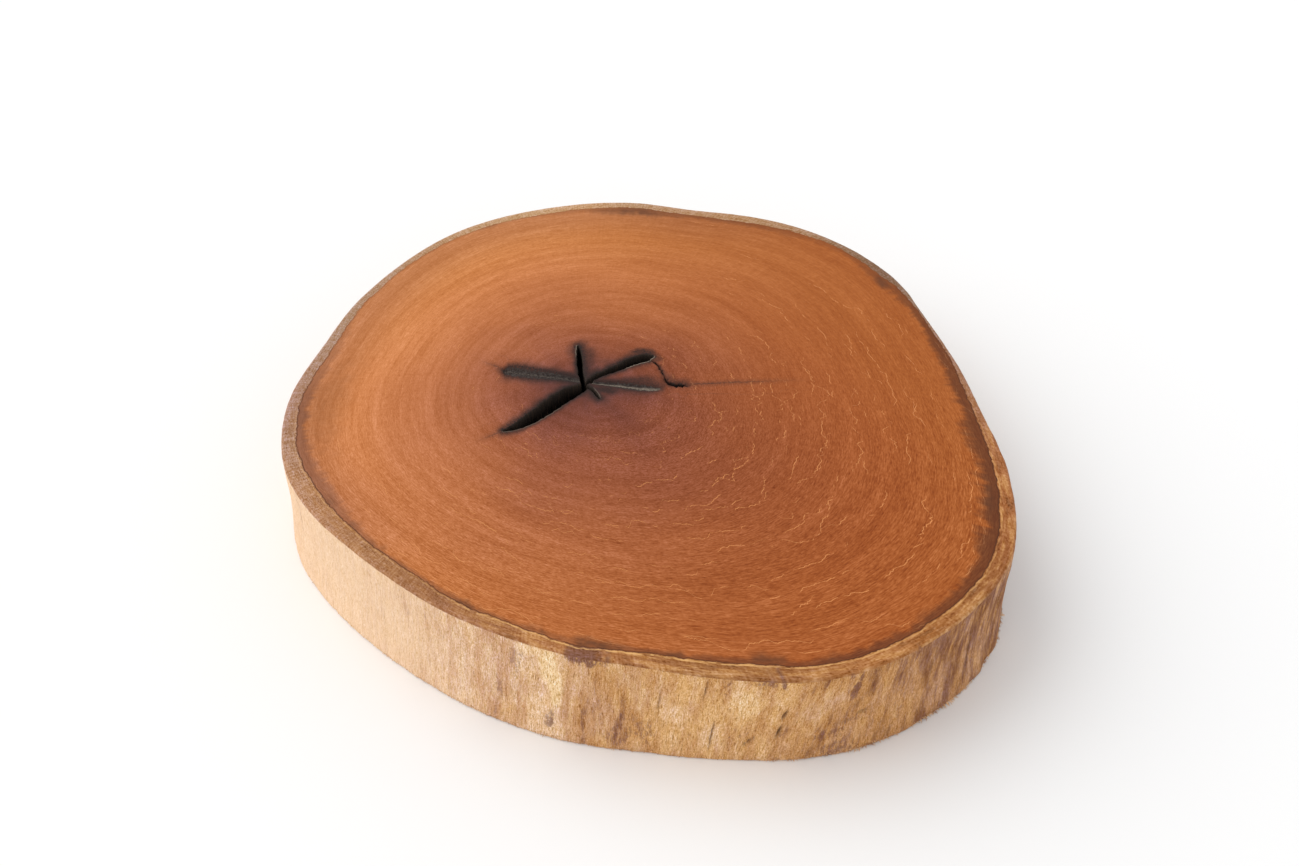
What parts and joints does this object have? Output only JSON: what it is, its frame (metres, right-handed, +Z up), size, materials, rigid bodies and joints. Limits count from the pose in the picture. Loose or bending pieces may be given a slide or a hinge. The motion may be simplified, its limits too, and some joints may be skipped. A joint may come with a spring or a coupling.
{
  "type": "wood slice",
  "caption": "Thick cross-cut slab of a debarked tree trunk with an irregular round outline, a sanded top face and a star-shaped heart check.",
  "frame": {"origin": "on the flat underside, at the middle of the slab's bounding box", "axes": "+Z up through the thickness, along the grain; -Y towards the side that faces the viewer; +X to the viewer's right"},
  "size_m": [0.3632, 0.3644, 0.06],
  "materials": {
    "wood": "sanded end grain, orange-brown heartwood with a pale sapwood rim; the debarked side is bare pale sapwood"
  },
  "bodies": {
    "root": {"wood_slice": "wood"}
  },
  "joints": []
}
